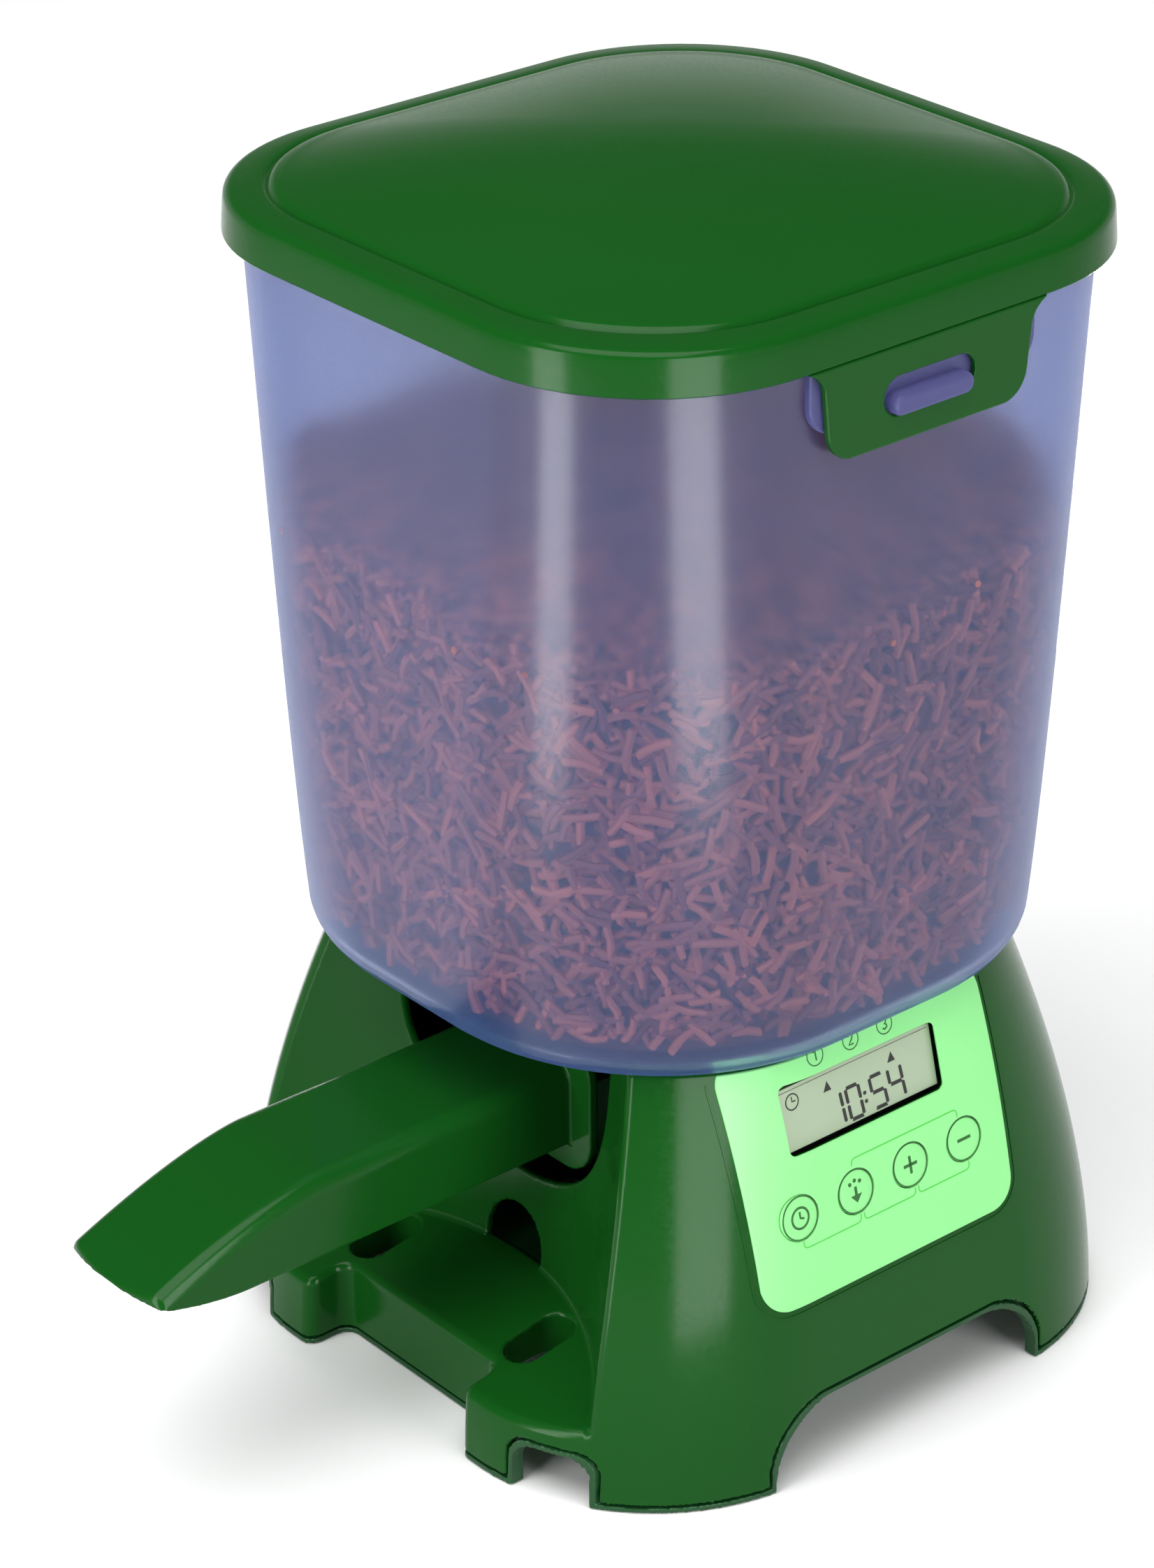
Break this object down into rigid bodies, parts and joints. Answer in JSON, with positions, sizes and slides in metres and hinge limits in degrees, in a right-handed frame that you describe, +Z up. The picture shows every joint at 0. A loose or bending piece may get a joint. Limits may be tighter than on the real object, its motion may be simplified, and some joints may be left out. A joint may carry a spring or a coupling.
{
  "type": "automatic pond fish feeder",
  "caption": "Screw-feed dispenser: lidded translucent hopper on a four-legged casing with a horizontal spout, a display and push buttons.",
  "frame": {"origin": "the point at ground level on the hopper's vertical axis", "axes": "+Z up, the spout points along -Y, the control panel faces +X"},
  "size_m": [0.2232, 0.3171, 0.3658],
  "materials": {
    "green_plastic": "deep green glossy moulded plastic",
    "dark_green_plastic": "dark green moulded plastic",
    "hopper_clear": "violet-blue translucent moulded plastic",
    "food": "terracotta food sticks",
    "seal_rubber": "black soft rubber",
    "panel_mint": "mint green satin overlay",
    "lcd": "grey-green display glass",
    "black_plastic": "black moulded plastic",
    "board": "green circuit board",
    "gear_plastic": "natural acetal",
    "steel": "zinc-plated steel",
    "brass": "turned brass",
    "bronze": "sintered bronze",
    "cell_wrap": "plain printed cell sleeve"
  },
  "bodies": {
    "casing": {"housing": "green_plastic", "base_cover": "dark_green_plastic", "control_panel": "panel_mint", "lcd_glass": "lcd", "lcd_frame": "black_plastic", "control_board": "board", "tact_switches": "black_plastic", "feed_tube": "dark_green_plastic", "front_bush": "bronze", "rear_bush": "bronze", "motor": "steel", "motor_end_cap": "black_plastic", "gearbox_front_plate": "black_plastic", "gearbox_rear_plate": "black_plastic", "gearbox_pillars": "brass", "gear_spindles": "steel", "gearbox_screws": "steel", "battery_box": "black_plastic", "batteries": "cell_wrap", "battery_contacts": "steel", "battery_springs": "steel", "door_seal": "seal_rubber", "casing_screws": "steel", "tube_screws": "steel"},
    "hopper_unit": {"hopper": "hopper_clear", "food_fill": "food"},
    "lid_unit": {"lid": "green_plastic", "lid_seal": "seal_rubber"},
    "tab_right": {"lid_tab_right": "green_plastic"},
    "tab_left": {"lid_tab_left": "green_plastic"},
    "spout_unit": {"spout": "green_plastic"},
    "screw_unit": {"feed_screw": "gear_plastic", "output_gear": "gear_plastic"},
    "second_gear_unit": {"second_gear": "gear_plastic"},
    "first_gear_unit": {"first_gear": "gear_plastic"},
    "motor_rotor": {"motor_pinion": "brass"},
    "time_button_unit": {"time_button": "panel_mint"},
    "feed_button_unit": {"feed_button": "panel_mint"},
    "plus_button_unit": {"plus_button": "panel_mint"},
    "minus_button_unit": {"minus_button": "panel_mint"},
    "battery_door_unit": {"battery_door": "dark_green_plastic"}
  },
  "joints": [
    {"name": "hopper_lift", "type": "slide", "parent": "casing", "child": "hopper_unit", "axis": [0, 0, 1], "range_m": [0, 0.06]},
    {"name": "lid_lift", "type": "slide", "parent": "hopper_unit", "child": "lid_unit", "axis": [0, 0, 1], "range_m": [0, 0.06]},
    {"name": "tab_right_flex", "type": "hinge", "parent": "lid_unit", "child": "tab_right", "pos_m": [0.104, 0, 0.3413], "axis": [0, -1, 0], "range_deg": [0, 22], "stiffness_Nm_per_rad": 0.6, "deforming": ["lid_tab_right"]},
    {"name": "tab_left_flex", "type": "hinge", "parent": "lid_unit", "child": "tab_left", "pos_m": [-0.104, 0, 0.3413], "axis": [0, 1, 0], "range_deg": [0, 22], "stiffness_Nm_per_rad": 0.6, "deforming": ["lid_tab_left"]},
    {"name": "spout_pull", "type": "slide", "parent": "casing", "child": "spout_unit", "axis": [0, -1, 0], "range_m": [0, 0.1]},
    {"name": "screw_spin", "type": "hinge", "parent": "casing", "child": "screw_unit", "pos_m": [0, 0, 0.09], "axis": [0, -1, 0], "continuous": true},
    {"name": "second_gear_spin", "type": "hinge", "parent": "casing", "child": "second_gear_unit", "pos_m": [0.0115, 0.044, 0.07008], "axis": [0, -1, 0], "continuous": true},
    {"name": "first_gear_spin", "type": "hinge", "parent": "casing", "child": "first_gear_unit", "pos_m": [0.0351, 0.05, 0.0659], "axis": [0, -1, 0], "continuous": true},
    {"name": "motor_spin", "type": "hinge", "parent": "casing", "child": "motor_rotor", "pos_m": [0.0466, 0.06, 0.04598], "axis": [0, -1, 0], "continuous": true},
    {"name": "door_slide", "type": "slide", "parent": "casing", "child": "battery_door_unit", "axis": [-1, 0, 0], "range_m": [0, 0.014]},
    {"name": "time_press", "type": "slide", "parent": "casing", "child": "time_button_unit", "axis": [-0.9703, 0, -0.2419], "range_m": [0, 0.0008], "stiffness_N_per_m": 400},
    {"name": "feed_press", "type": "slide", "parent": "casing", "child": "feed_button_unit", "axis": [-0.9703, 0, -0.2419], "range_m": [0, 0.0008], "stiffness_N_per_m": 400},
    {"name": "plus_press", "type": "slide", "parent": "casing", "child": "plus_button_unit", "axis": [-0.9703, 0, -0.2419], "range_m": [0, 0.0008], "stiffness_N_per_m": 400},
    {"name": "minus_press", "type": "slide", "parent": "casing", "child": "minus_button_unit", "axis": [-0.9703, 0, -0.2419], "range_m": [0, 0.0008], "stiffness_N_per_m": 400}
  ],
  "couplings": [
    {"joint": "first_gear_spin", "follows": "motor_spin", "ratio": -0.27778},
    {"joint": "second_gear_spin", "follows": "motor_spin", "ratio": 0.092593},
    {"joint": "screw_spin", "follows": "motor_spin", "ratio": -0.03268}
  ]
}
